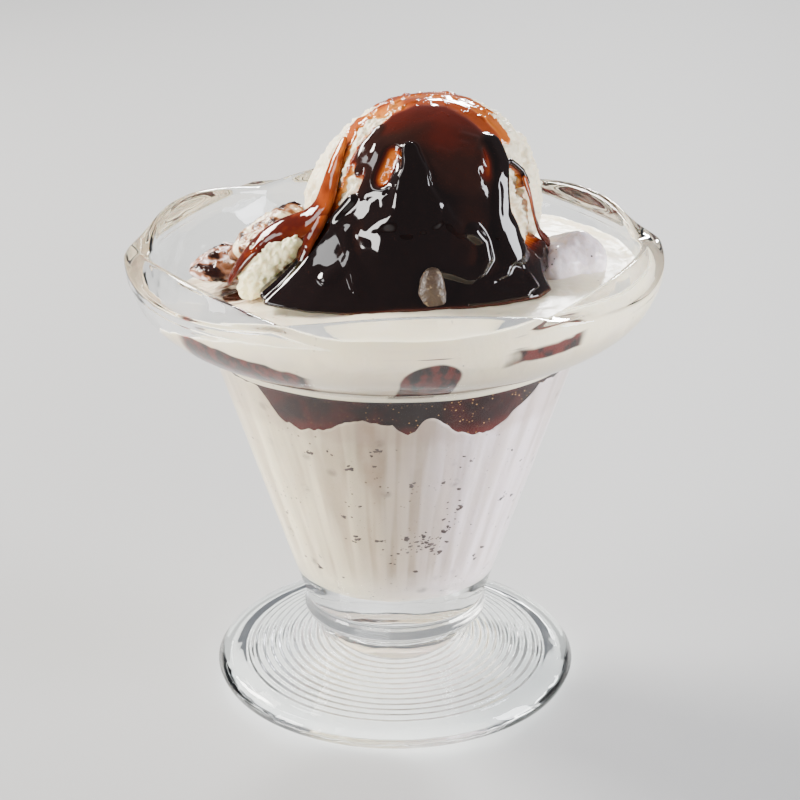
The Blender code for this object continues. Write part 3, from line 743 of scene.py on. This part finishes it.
def coat_base(azimuth, share):
    """Where the coat's upper side would lie with an even thickness, and its polar angle.

    Up to the shoulder it keeps one distance from the scoop.  Past it the slope is a cubic curve
    that leaves along the scoop and arrives level, out to the pool's edge on the bed.
    """
    wobble = rough(directions(azimuth, 90.0) * 27.0, 6.5, 51, 3, 0.5)
    end = np.interp(azimuth, COAT_AZIMUTHS, COAT_ANGLES, period=360)
    reach = np.interp(azimuth, COAT_AZIMUTHS, POOL_REACHES, period=360)
    end = np.where(end < 125.0, end + 9.0 * wobble, end)
    reach = reach * (1.0 + 0.025 * wobble)
    shoulder = np.minimum(SHOULDER, 0.93 * end)
    past = np.clip((share - DOME_SHARE) / (1.0 - DOME_SHARE), 0.0, 1.0)
    polar = shoulder * np.minimum(share / DOME_SHARE, 1.0)
    radius = scoop_surface(azimuth, polar) + COAT_DEPTH
    out, up = radius * np.sin(np.radians(polar)), radius * np.cos(np.radians(polar))
    end_radius = scoop_surface(azimuth, end)
    end_out = end_radius * np.sin(np.radians(end)) + reach
    cos, sin = np.cos(np.radians(azimuth)), np.sin(np.radians(azimuth))
    bed_end = cream_bed(SCOOP_CENTRE[0] + end_out * cos, SCOOP_CENTRE[1] + end_out * sin)
    end_up = np.maximum(end_radius * np.cos(np.radians(end)), bed_end - SCOOP_CENTRE[2])
    hang = 1.0 - past
    fall = 0.50 * (up - end_up)
    lean = fall / np.tan(np.radians(shoulder))
    slide = 0.42 * np.maximum(end_out - out, 0.0)
    curve_out = (hang ** 3 * out + 3 * hang ** 2 * past * (out + lean)
                 + 3 * hang * past ** 2 * (end_out - slide) + past ** 3 * end_out)
    curve_up = (hang ** 3 * up + 3 * hang ** 2 * past * (up - fall)
                + 3 * hang * past ** 2 * (end_up + POOL_EDGE) + past ** 3 * end_up)
    curve_up = curve_up + POOL_EDGE * np.sqrt(np.clip(1.0 - (2.0 * past - 1.0) ** 2, 0.0, 1.0)) * past
    beyond = share > DOME_SHARE
    out, up = np.where(beyond, curve_out, out), np.where(beyond, curve_up, up)
    base = np.stack((SCOOP_CENTRE[0] + out * cos, SCOOP_CENTRE[1] + out * sin,
                     SCOOP_CENTRE[2] + up), -1)
    return base, polar + 0.0 * azimuth, end, reach, past


def beside_run(points, path):
    """Distance from points to the nearest of the straight pieces of a path."""
    nearest = np.full(points.shape[:-1], np.inf)
    for start, end in zip(path[:-1], path[1:]):
        along = end - start
        part = np.clip((points - start) @ along / (along @ along), 0.0, 1.0)
        nearest = np.minimum(nearest, np.linalg.norm(points - start - part[..., None] * along, axis=-1))
    return nearest


def coat_thickness(base, azimuth, polar):
    """Thickness of the fudge over the scoop, below zero where the ice cream is bare.

    It is dark and deep in front, thinner towards the crown and bare behind and at both sides.
    Each run then pulls it to its own thickness along its path, with a soft shoulder.
    """
    slow = rough(base, 9.0, 42, 2)
    low = smooth(91.0, 84.0, base[..., 2])
    left = smooth(205.0, 224.0, azimuth + 5.0 * slow + 0.10 * (polar - 60.0) + 30.0 * low)
    right = 1.0 - smooth(316.0, 329.0, azimuth + 4.0 * slow)
    front = left * right
    high = 0.5 * smooth(24.0, 60.0, polar + 6.0 * slow) + 0.5 * smooth(58.0, 88.0, polar + 8.0 * slow)
    drips = rough(directions(azimuth, 90.0 + 0.0 * polar) * 19.0, 4.0, 47, 2)
    edge = 30.0 + 20.0 * bump(turn_between(azimuth, 92.0), 90.0) + 15.0 * drips
    crown = 1.0 - smooth(edge - 7.0, edge + 4.0, polar)
    deep = 0.55 + 0.62 * high + 0.08 * slow
    side = -0.46 + 0.20 * slow
    thickness = side + (deep - side) * np.maximum(front, crown * (0.80 + 0.20 * front))
    for target, width, *path in RUNS:
        off = beside_run(base, np.array(path, dtype=float))
        share = smooth(0.75, 0.22, off / width)
        thickness = thickness + (target - thickness) * share
    return thickness


def coat_folds(base):
    """Height of the small folds in the skin of the fudge."""
    height = np.zeros(base.shape[:-1])
    for rise, width, *path in FOLDS:
        off = beside_run(base, np.array(path, dtype=float))
        height = np.maximum(height, rise * smooth(0.8, 0.0, off / width))
    return height


def make_coat(material):
    """The coat and its pool: an upper side and a lower side that meet at its edge.

    The upper side is moved from its even base by the thickness, less the base's own.  Crags of
    the scoop show through where it is thin.  The lower side lies hidden in the ice cream.
    """
    azimuth = np.arange(COAT_COLUMNS) * 360.0 / COAT_COLUMNS
    dome, slope = 112, COAT_ROWS - 124
    share = np.concatenate((np.linspace(0.0, DOME_SHARE, dome),
                            np.linspace(DOME_SHARE, 1.0, slope + 1)[1:]))[:, None]
    base, polar, end, reach, past = coat_base(azimuth, share)
    thickness = coat_thickness(base, azimuth, polar)
    flows = smooth(112.0, 124.0, end)
    pool = smooth(0.0, 0.22, past) * flows
    least = 0.36 + 0.74 * smooth(0.30, 0.75, past)
    bare = smooth(0.10, -0.15, thickness)
    thickness = thickness + (np.maximum(thickness, least) - thickness) * pool * (1.0 - bare)
    thickness = thickness - (thickness + 0.6) * smooth(0.0, 0.05, past) * (1.0 - flows)
    away = base - SCOOP_CENTRE
    away = away / np.linalg.norm(away, axis=-1)[..., None]
    covered = smooth(-0.10, 0.24, thickness)
    hidden = smooth(0.05, -0.15, thickness)
    crags = scoop_crags(azimuth, polar) * (1.0 - pool * (1.0 - bare))
    move = thickness - COAT_DEPTH + crags * (1.0 - 0.97 * covered) - 0.45 * hidden
    move = move + (0.12 * rough(base, 7.0, 52, 2) + coat_folds(base)) * covered
    over_crags = np.maximum(move, crags - COAT_DEPTH + FILM)
    move = move + (over_crags - move) * smooth(0.0, 0.10, thickness) * (1.0 - smooth(0.0, 0.1, past))
    edge = smooth(1.0, 0.93, past) * np.ones_like(polar)
    move = move * (edge * pool + 1.0 - pool) - 2.6 * smooth(0.0, 0.15, past) * (1.0 - flows)
    upper = base + away * move[..., None]
    sunk = polar + (end - polar) * past
    within = SCOOP_CENTRE + directions(azimuth, sunk) * (scoop_surface(azimuth, sunk) - 1.8)[..., None]
    upper = upper + (within - upper) * (bare * smooth(0.0, 0.10, past))[..., None]
    bed = cream_bed(upper[..., 0], upper[..., 1])
    lip = 0.62 + 0.8 * smooth(0.2, 1.2, upper[..., 2] - bed)
    layer = thickness + (np.minimum(lip, thickness) - thickness) * pool

    part = np.linspace(1.0, 0.0, 13)[1:, None]
    low_polar = end * part
    low_radius = scoop_surface(azimuth, low_polar) - 1.8
    low_out = low_radius * np.sin(np.radians(low_polar)) + np.maximum((part - 0.9) * 10.0, 0.0) * reach
    lower = np.stack((SCOOP_CENTRE[0] + low_out * np.cos(np.radians(azimuth)),
                      SCOOP_CENTRE[1] + low_out * np.sin(np.radians(azimuth)),
                      SCOOP_CENTRE[2] + low_radius * np.cos(np.radians(low_polar))), -1)
    grid = np.concatenate((upper, lower))
    layer = np.concatenate((layer, np.full(lower.shape[:2], 1.0)))
    return skin("hot_fudge_coat", grid, material, ["hot_fudge"], layer)


def fudge_material():
    """Hot fudge, coloured by its thickness: pale amber, red-brown, then nearly black; wet gloss."""
    mix = Mixture("hot_fudge_gloss")
    place = mix.place()
    depth = mix.node("Attribute", {"attribute_name": "thickness"}, out="Fac")
    depth = depth + (mix.noise(place, 3.0, 3.0, 0.55) - 0.5) * 0.14
    colour = mix.node("ValToRGB", {"stops": ((0.0, FUDGE_THIN), (0.09, FUDGE_AMBER), (0.19, FUDGE_ORANGE),
                                             (0.32, FUDGE_RED), (0.46, FUDGE_DARK),
                                             (0.62, FUDGE_DEEP))},
                      {0: depth * 0.6})
    waves = mix.noise(place, 5.0, 2.0, 0.4)
    smears = mix.noise(place, 5.0, 2.0).step(0.4, 0.8)
    return mix.done(mix.surface(Base_Color=colour, Roughness=0.04 + smears * 0.05, IOR=1.46,
                                Normal=mix.relief(waves, 0.10)))


# ------------------------------------------------------------------ chunks and folds


def make_lump(name, node, centre, radii, material, turn=0.0, tilt=0.0,
              swell=0.12, phase=0.0, crags=0.5, size=1.8, seed=60):
    """A lump: an ellipsoid with slow swells and crags, tilted about Y and turned about Z."""
    azimuth = np.arange(160) * 360.0 / 160
    polar = np.linspace(0.0, 180.0, 90)[:, None]
    points = directions(azimuth, polar)
    x, y, z = np.moveaxis(points, -1, 0)
    wave = np.sin(3.1 * x + phase) * np.cos(2.7 * y - phase) + 0.6 * np.sin(4.3 * z + 2.0 * phase)
    grown = points * (1.0 + swell * wave)[..., None] * np.array(radii)
    relief = crags * rough(grown + 40.0, size, seed, 3, 0.6)
    grown = grown + points * relief[..., None]
    ct, st = math.cos(math.radians(tilt)), math.sin(math.radians(tilt))
    x, y, z = np.moveaxis(grown, -1, 0)
    x, z = ct * x + st * z, ct * z - st * x
    cz, sz = math.cos(math.radians(turn)), math.sin(math.radians(turn))
    grid = np.stack((cz * x - sz * y, sz * x + cz * y, z), -1) + np.array(centre)
    return skin(name, grid, material, [node])


def make_band(name, path, widths, rise, material, node, seed):
    """A run of sauce along a path: a flat ellipse, as wide as asked and rise times as high.

    The path and its widths are eased by a smoothing window.  Each section stands square to the
    path, its flat side turned towards the scoop's middle, and fine waves roughen its rim.
    """
    count, around = 150, 48
    path = np.array(path, dtype=float)
    at = np.concatenate(([0.0], np.cumsum(np.linalg.norm(np.diff(path, axis=0), axis=1))))
    walk = np.linspace(0.0, at[-1], count)
    window = np.hanning(33)[1:-1]
    window /= window.sum()

    def eased(values):
        line = np.interp(walk, at, values)
        return np.convolve(np.pad(line, 15, mode="reflect", reflect_type="odd"), window, "valid")

    line = np.stack([eased(path[:, axis]) for axis in range(3)], -1)
    width = np.maximum(eased(np.array(widths, dtype=float)), 0.3)
    along = np.gradient(line, axis=0)
    along /= np.linalg.norm(along, axis=1)[:, None]
    up = line - (SCOOP_CENTRE - np.array((4.0, 0.0, 14.0)))
    up -= np.sum(up * along, axis=1)[:, None] * along
    up /= np.linalg.norm(up, axis=1)[:, None]
    side = np.cross(up, along)
    cap = np.sqrt(np.clip(1.0 - (2.0 * walk / at[-1] - 1.0) ** 16, 0.0, 1.0))
    theta = np.arange(around) * 2.0 * math.pi / around
    half = 0.5 * (width * cap)[:, None]
    grid = (line[:, None] + up[:, None] * (half * rise * np.cos(theta))[..., None]
            + side[:, None] * (half * np.sin(theta))[..., None])
    wave = 0.10 * rough(grid, 3.0, seed, 3, 0.5) * np.minimum(half, 1.0)
    grid = grid + wave[..., None] * (grid - line[:, None]) / np.maximum(half, 0.3)[..., None]
    down = (walk / at[-1])[:, None]
    depth = 0.24 + 0.34 * smooth(0.15, 0.9, down + 0.25 * np.cos(theta)) + 0.12 * rough(grid, 3.4, seed + 3)
    return skin(name, grid, material, node, depth)


# Where larger specks sit at the glass: azimuth in degrees, height and spread in mm.
SPECK_SPOTS = ((252, 36, 0.7), (263, 36, 0.6), (283, 36.5, 1.0), (290, 33.5, 0.8), (294, 38, 0.6),
               (299, 43, 0.5), (324, 42, 0.5), (318, 29, 0.5), (247, 41, 0.4), (251, 44, 0.7),
               (281, 29, 0.4), (224, 27, 0.4), (253, 52, 0.4), (247, 55, 0.8), (264, 56, 0.8),
               (300, 53, 0.4), (277, 49, 0.4), (237, 54, 0.6), (275, 37, 0.6), (286, 35, 0.7))


def make_specks(material):
    """Dark vanilla and cocoa specks at the glass: a loose drift low at the front, some all round."""
    rng = np.random.default_rng(77)
    drift = np.column_stack((rng.normal(284.0, 9.0, 90), rng.normal(36.0, 1.4, 90)))
    drift[:, 1] += 0.20 * (drift[:, 0] - 284.0)
    loose = np.column_stack((rng.uniform(0.0, 360.0, 230), rng.uniform(24.0, 57.0, 230)))
    spots = np.repeat(np.array(SPECK_SPOTS, dtype=float), 7, axis=0)
    strewn = rng.normal(size=(len(spots), 2)) * spots[:, 2:] * np.array((2.2, 0.7))
    spots = np.concatenate((drift, loose, spots[:, :2] + strewn))
    azimuth, z = spots.T
    z = np.clip(z, 23.5, 57.0)
    r = wall_radius(azimuth, z) + INTO_WALL
    a = np.radians(azimuth)
    outward = np.stack((np.cos(a), np.sin(a), 0.0 * a), -1)
    places = np.column_stack((r * np.cos(a), r * np.sin(a), z))
    size = rng.gamma(2.4, 0.13, len(spots))
    size[320:] = rng.gamma(3.0, 0.13, len(spots) - 320)
    size[:90] = rng.gamma(2.6, 0.12, 90)
    size = size.clip(0.10, 0.80)
    sizes = size[:, None] * np.array((1.0, 0.7, 0.12)) * rng.uniform(0.7, 1.2, (len(size), 3))
    return flung("vanilla_specks", places, outward, sizes, 78, material)


def speck_material():
    """Cocoa brown specks, darker and lighter by a fine noise."""
    mix = Mixture("cocoa_speck")
    tone = mix.noise(mix.place(), 0.7, 2.0)
    colour = mix.blend(tone, (0.030, 0.017, 0.016), (0.13, 0.085, 0.075))
    return mix.done(mix.surface(Base_Color=colour, Roughness=0.6))


def upper_material():
    """Ice cream in the cup: white on top, smeared with brown at the glass and at the left, and darkened low
    at the glass by painted shade.
    """
    mix = Mixture("melting_vanilla")
    place = mix.place()
    x, y, z = mix.axes(place)
    cloud = mix.noise(place, 6.0, 4.0, 0.6).step(0.3, 0.75)
    colour = mix.blend(cloud * 0.25, CREAM, COOL_CREAM)
    flecks = mix.grains(place, 2.2).step(0.12, 0.05) * mix.noise(place, 7.0).step(0.45, 0.62)
    colour = mix.blend(flecks * 0.7, colour, SPECK)
    azimuth = y.math("ARCTAN2", x) * (180.0 / math.pi)
    radius = (x * x + y * y).math("SQRT")
    wavy = (mix.noise(place, 4.5, 1.5, 0.45, 0.3) - 0.5)
    at_wall = radius.step(30.6, 31.6)
    # painted shade: the cream low against the glass is darkened as if shaded by it
    painted_wall_shade = at_wall * (z + wavy * 5.0).step(79.5, 75.0)
    colour = mix.blend(painted_wall_shade * 0.45, colour, (0.42, 0.33, 0.26))
    across = (azimuth + 81.5 - (z - 76.0) * 0.55 + wavy * 2.0).math("ABSOLUTE")
    dome = (z - 75.0).math("MAXIMUM", 0.0) / 3.2
    column = (across * across / 46.0 + dome * dome).step(1.15, 0.90)
    drift = (z - 74.0 + (azimuth + 120.0) * 0.085 + wavy * 1.2).math("ABSOLUTE")
    left = drift.step(2.5, 2.1) * (azimuth + 127.0 + wavy * 4.0).math("ABSOLUTE").step(19.0, 16.0)
    high = (z - 78.2 + (azimuth + 55.0) * -0.05 + wavy * 1.2).math("ABSOLUTE")
    right = high.step(1.3, 0.8) * (azimuth + 55.0 + wavy * 8.0).math("ABSOLUTE").step(11.0, 8.0)
    round_back = (azimuth - 60.0 + wavy * 30.0).math("ABSOLUTE") * 0.08
    back = (round_back + (z - 71.5 + wavy * 3.0).math("ABSOLUTE")).step(3.0, 2.0)
    smear = (column + left + right + back).math("MINIMUM", 1.0) * at_wall
    colour = mix.blend(smear, colour, mix.blend(mix.noise(place, 2.0).step(0.4, 0.6), LAYER_DARK, LAYER_RED))
    band = mix.noise(mix.node("CombineXYZ", sockets={0: x * 0.5, 1: y, 2: z * 0.5}), 4.0, 3.0, 0.5, 1.4)
    melt = band.step(0.42, 0.54) * x.step(-14.0, -24.0) * y.step(14.0, 4.0) * y.step(-16.0, -8.0)
    colour = mix.blend(melt * (1.0 - at_wall * 0.6), colour, (0.16, 0.055, 0.028))
    lean = y + 4.6 + (x + 29.5) * 0.25
    spill = (x + 29.5) * (x + 29.5) / 46.0 + lean * lean / 22.0
    spill = (spill + wavy * 1.2).step(1.15, 0.85) * z.step(72.0, 73.0)
    colour = mix.blend(spill * (1.0 - at_wall), colour, FUDGE_DARK)
    melt = melt.math("MAXIMUM", spill)
    height = mix.noise(place, 1.8, 4.0, 0.55)
    return mix.done(mix.surface(Base_Color=colour, Roughness=0.30 - melt * 0.20,
                                Subsurface_Weight=0.3, Subsurface_Radius=(2.6, 1.8, 1.2),
                                Subsurface_Scale=MM, Specular_IOR_Level=0.45,
                                Normal=mix.relief(height, 0.14)))


# ------------------------------------------------------------------ stage, lights, camera


def make_stage():
    """A plain pale floor."""
    mix = Mixture("pale_floor")
    mesh = bpy.data.meshes.new("floor")
    mesh.from_pydata([(-4, -4, 0), (4, -4, 0), (4, 4, 0), (-4, 4, 0)], [], [(0, 1, 2, 3)])
    mesh.materials.append(mix.done(mix.surface(Base_Color=(0.335, 0.335, 0.335, 1.0), Roughness=0.6)))
    floor = bpy.data.objects.new("floor", mesh)
    bpy.context.scene.collection.objects.link(floor)


def soft_box(name, place, aim, size, power, colour=(1.0, 1.0, 1.0)):
    """An area light at a place that shines at a point."""
    lamp = bpy.data.lights.new(name, "AREA")
    lamp.shape = "RECTANGLE"
    lamp.size, lamp.size_y = size
    lamp.energy = power
    lamp.color = colour
    box = bpy.data.objects.new(name, lamp)
    box.location = place
    box.rotation_euler = (Vector(aim) - Vector(place)).to_track_quat("-Z", "Y").to_euler()
    bpy.context.scene.collection.objects.link(box)


def make_lights():
    """Soft studio light in a dim room: a key and a back light from behind, a broad strip on the
    right, a fill low on the left and a weak light above it.
    """
    world = bpy.data.worlds.new("studio")
    world.use_nodes = True
    world.node_tree.nodes["Background"].inputs["Color"].default_value = (0.74, 0.77, 0.84, 1.0)
    world.node_tree.nodes["Background"].inputs["Strength"].default_value = 0.33
    bpy.context.scene.world = world
    soft_box("key", (-0.46, 0.30, 0.46), (0.0, 0.0, 0.08), (0.28, 0.20), 14.6, (1.0, 0.96, 0.90))
    soft_box("strip", (0.50, -0.10, 0.19), (0.0, 0.0, 0.09), (0.19, 0.34), 6.2, (0.93, 0.95, 1.0))
    soft_box("fill", (-0.58, -0.24, 0.18), (0.0, 0.0, 0.06), (0.20, 0.24), 5.2, (1.0, 0.98, 0.95))
    soft_box("side", (-0.55, -0.08, 0.58), (0.0, 0.0, 0.06), (0.24, 0.20), 1.6)
    soft_box("back", (0.13, 0.76, 0.40), (0.0, 0.0, 0.06), (0.20, 0.07), 7.0)


def make_camera():
    """A long lens from the front, a little above the rim."""
    data = bpy.data.cameras.new("camera")
    data.sensor_width = 36.0
    data.lens = 103.26
    data.clip_start = 0.01
    camera = bpy.data.objects.new("camera", data)
    camera.location = (0.0009, -0.3841, 0.2125)
    camera.rotation_euler = (math.radians(67.54), 0.0, 0.0)
    bpy.context.scene.collection.objects.link(camera)
    bpy.context.scene.camera = camera


# ------------------------------------------------------------------ the sundae

make_camera()
make_stage()
make_lights()
make_dish(glass_material())
filling("speckled_ice_cream", None, layer_bottom, lower_material(),
        ["ice_cream_lower"])
filling("fudge_filling", layer_bottom, layer_top, layer_material(), ["fudge_layer"],
        wall_rows=30)
filling("cup_ice_cream", layer_top, cream_top, upper_material(),
        ["ice_cream_upper"], top_rows=110, wall_rows=50)
make_specks(speck_material())
scooped = cream_material("scooped_vanilla", CREAM)
make_scoop(scooped)
fudge = fudge_material()
make_coat(fudge)
make_band("caramel_band_left", ((-8.4, -5.4, 104.6), (-10.2, -8.4, 100.6), (-11.2, -10.6, 96.8),
                                (-12.3, -11.5, 93.4), (-15.2, -11.9, 90.9), (-19.0, -11.7, 89.8),
                                (-22.4, -11.6, 88.0), (-25.2, -11.6, 85.4), (-27.4, -11.6, 82.4),
                                (-28.8, -11.4, 79.8)),
          (2.0, 2.8, 3.8, 4.8, 5.8, 5.6, 4.4, 3.4, 2.6, 1.6), 0.40, fudge, (), 81)
make_band("caramel_band_right", ((-12.2, -11.4, 94.0), (-13.6, -12.8, 91.2), (-15.0, -14.4, 88.6),
                                 (-15.8, -15.4, 86.2), (-16.6, -16.0, 83.6)),
          (3.6, 4.6, 3.6, 2.6, 1.2), 0.42, fudge, (), 85)
make_band("thin_red_run", ((21.9, -9.2, 98.8), (23.1, -9.4, 95.2), (23.9, -8.7, 91.4),
                           (24.9, -7.2, 88.2), (26.8, -5.2, 85.2)),
          (1.8, 1.1, 1.0, 1.4, 2.6), 0.50, fudge, (), 88)
# the chunk's cream is brightened as painted light, as if strongly lit
make_lump("pitted_chunk", "ice_cream_chunk", (-20.9, -12.0, 83.7), (7.6, 3.4, 4.6),
          cream_material("pitted_cream_painted_lit", WARM_LIT_CREAM, speck=0.3), turn=-12, tilt=-46, phase=0.7,
          crags=0.55, size=1.7, seed=61)
make_lump("cream_nub", "ice_cream_nub", (6.2, -23.9, 82.6), (2.4, 2.0, 4.6),
          cream_material("sauced_nub", (0.075, 0.050, 0.034), wet=0.36), swell=0.06,
          phase=1.9, crags=0.18, size=2.6, seed=62)
make_lump("melting_lump", "ice_cream_lump", (30.2, -4.6, 81.0), (6.3, 6.4, 6.3),
          cream_material("melting_lump_cream", COOL_CREAM, wet=0.10, speck=1.0, bumpy=0.10),
          swell=0.17, phase=0.2, crags=0.35, size=5.0, seed=63)
make_lump("cream_fold", "ice_cream_fold", (-22.4, 1.6, 84.3), (8.0, 4.6, 3.2),
          cream_material("folded_cream", CREAM, streaks=1.25, wet=0.26), turn=6, tilt=-34, phase=2.6,
          crags=0.5, size=3.2, seed=64)
make_lump("cream_swirl", "ice_cream_swirl", (-30.0, 4.0, 78.3), (6.4, 6.6, 2.6),
          cream_material("swirled_cream", COOL_CREAM, streaks=1.35, wet=0.26), turn=8, swell=0.10, phase=1.2,
          crags=0.6, size=3.0, seed=65)
